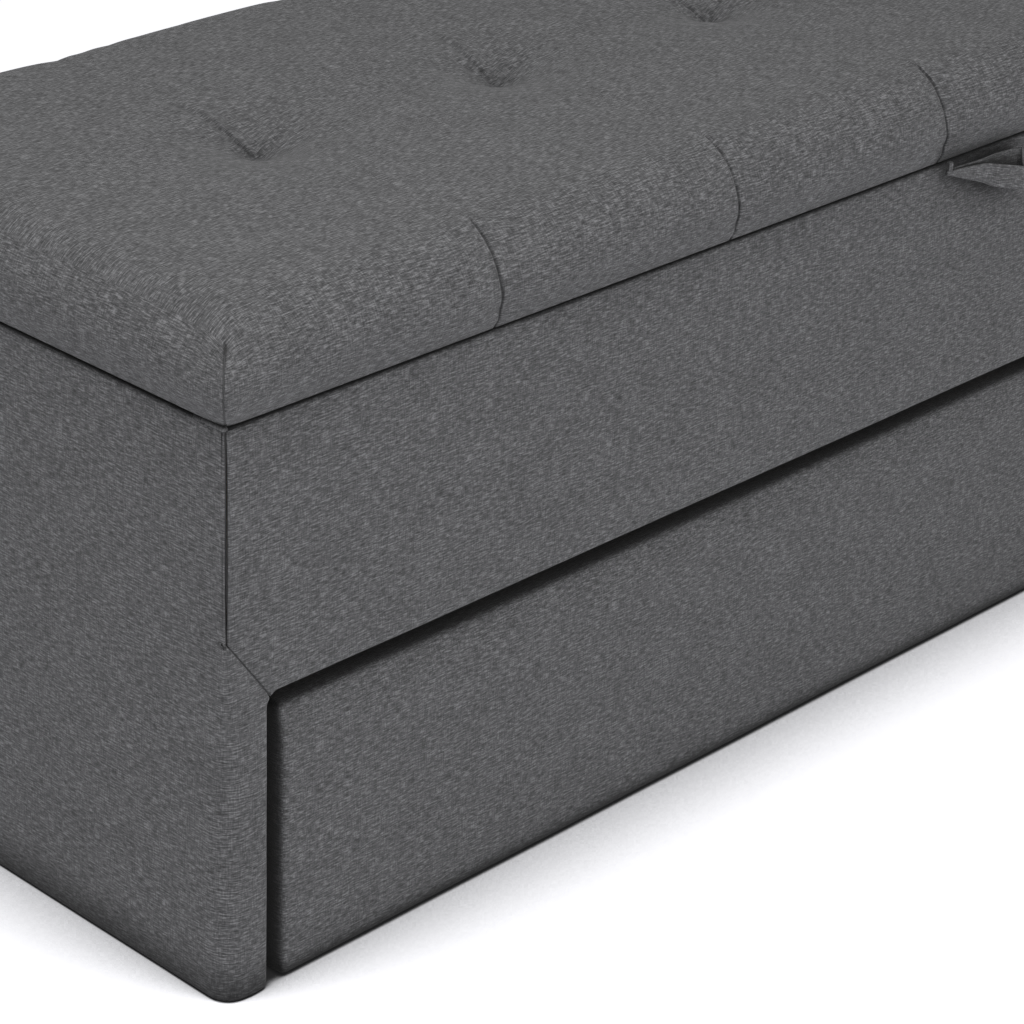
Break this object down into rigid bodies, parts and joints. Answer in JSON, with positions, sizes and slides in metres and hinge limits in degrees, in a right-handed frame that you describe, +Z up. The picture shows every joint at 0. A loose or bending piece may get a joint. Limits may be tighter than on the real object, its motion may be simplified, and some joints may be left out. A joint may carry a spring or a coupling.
{
  "type": "trundle bed",
  "caption": "Upholstered bench bed with a tufted lift-up lid over a storage box and a slatted pull-out trundle behind the lower front.",
  "frame": {"origin": "on the floor, in the middle of the object's outline seen from above", "axes": "+X along the bench to the right seen from the front, +Y to the back, +Z up"},
  "size_m": [1.924, 0.5006, 0.5],
  "materials": {
    "upholstery": "woven charcoal melange, matt",
    "lining": "non-woven dust cloth",
    "mattress": "plain ticking",
    "steel": "zinc plated",
    "wheel_plastic": "moulded",
    "pine": "sawn pine, unfinished",
    "plywood": "plywood, unfinished"
  },
  "bodies": {
    "box": {"back_board": "plywood", "back_cleat": "pine", "back_cover": "upholstery", "floor_brace": "pine", "front_board": "plywood", "front_cover": "upholstery", "glide_back_left": "wheel_plastic", "glide_back_right": "wheel_plastic", "glide_front_left": "wheel_plastic", "glide_front_right": "wheel_plastic", "guide_left": "pine", "guide_right": "pine", "hinge_leaf_lower_left": "steel", "hinge_leaf_lower_middle": "steel", "hinge_leaf_lower_right": "steel", "hinge_pin_left": "steel", "hinge_pin_middle": "steel", "hinge_pin_right": "steel", "side_board_left": "plywood", "side_board_right": "plywood", "side_cleat_left": "pine", "side_cleat_right": "pine", "side_cover_left": "upholstery", "side_cover_right": "upholstery", "stop_left": "pine", "stop_right": "pine", "storage_floor": "plywood"},
    "lid": {"hinge_leaf_upper_left": "steel", "hinge_leaf_upper_middle": "steel", "hinge_leaf_upper_right": "steel", "lid_board": "plywood", "lid_lining": "lining", "lid_pad": "upholstery", "tab_roll_left": "upholstery", "tab_roll_right": "upholstery"},
    "pull_tab_left": {"pull_tab_left": "upholstery"},
    "pull_tab_right": {"pull_tab_right": "upholstery"},
    "trundle": {"castor_axle_back_left": "steel", "castor_axle_back_right": "steel", "castor_axle_front_left": "steel", "castor_axle_front_right": "steel", "castor_bracket_back_left": "steel", "castor_bracket_back_right": "steel", "castor_bracket_front_left": "steel", "castor_bracket_front_right": "steel", "mattress": "mattress", "slat_rail_back": "pine", "slat_rail_front": "pine", "slats": "pine", "trundle_back_board": "plywood", "trundle_bearer_left": "plywood", "trundle_bearer_right": "plywood", "trundle_front_board": "plywood", "trundle_front_cover": "upholstery", "trundle_side_left": "plywood", "trundle_side_right": "plywood"},
    "wheel_back_left": {"castor_wheel_back_left": "wheel_plastic"},
    "wheel_back_right": {"castor_wheel_back_right": "wheel_plastic"},
    "wheel_front_left": {"castor_wheel_front_left": "wheel_plastic"},
    "wheel_front_right": {"castor_wheel_front_right": "wheel_plastic"}
  },
  "joints": [
    {"name": "lid_hinge", "type": "hinge", "parent": "box", "child": "lid", "pos_m": [0, 0.242, 0.42825], "axis": [-1, 0, 0], "range_deg": [0, 80]},
    {"name": "trundle_slide", "type": "slide", "parent": "box", "child": "trundle", "axis": [0, -1, 0], "range_m": [0, 0.3685]},
    {"name": "tab_left_swing", "type": "hinge", "parent": "lid", "child": "pull_tab_left", "pos_m": [-0.2375, -0.24325, 0.42], "axis": [0, 0, -1], "range_deg": [0, 75]},
    {"name": "tab_right_swing", "type": "hinge", "parent": "lid", "child": "pull_tab_right", "pos_m": [0.2375, -0.24325, 0.42], "axis": [0, 0, 1], "range_deg": [0, 75]},
    {"name": "wheel_back_left_roll", "type": "hinge", "parent": "trundle", "child": "wheel_back_left", "pos_m": [-0.82, 0.12725, 0.02], "axis": [1, 0, 0], "range_deg": [-5, 1060]},
    {"name": "wheel_back_right_roll", "type": "hinge", "parent": "trundle", "child": "wheel_back_right", "pos_m": [0.82, 0.12725, 0.02], "axis": [1, 0, 0], "range_deg": [-5, 1060]},
    {"name": "wheel_front_left_roll", "type": "hinge", "parent": "trundle", "child": "wheel_front_left", "pos_m": [-0.82, -0.13575, 0.02], "axis": [1, 0, 0], "range_deg": [-5, 1060]},
    {"name": "wheel_front_right_roll", "type": "hinge", "parent": "trundle", "child": "wheel_front_right", "pos_m": [0.82, -0.13575, 0.02], "axis": [1, 0, 0], "range_deg": [-5, 1060]}
  ],
  "couplings": [
    {"joint": "wheel_back_left_roll", "follows": "trundle_slide", "rad_per_m": 50},
    {"joint": "wheel_back_right_roll", "follows": "trundle_slide", "rad_per_m": 50},
    {"joint": "wheel_front_left_roll", "follows": "trundle_slide", "rad_per_m": 50},
    {"joint": "wheel_front_right_roll", "follows": "trundle_slide", "rad_per_m": 50}
  ]
}
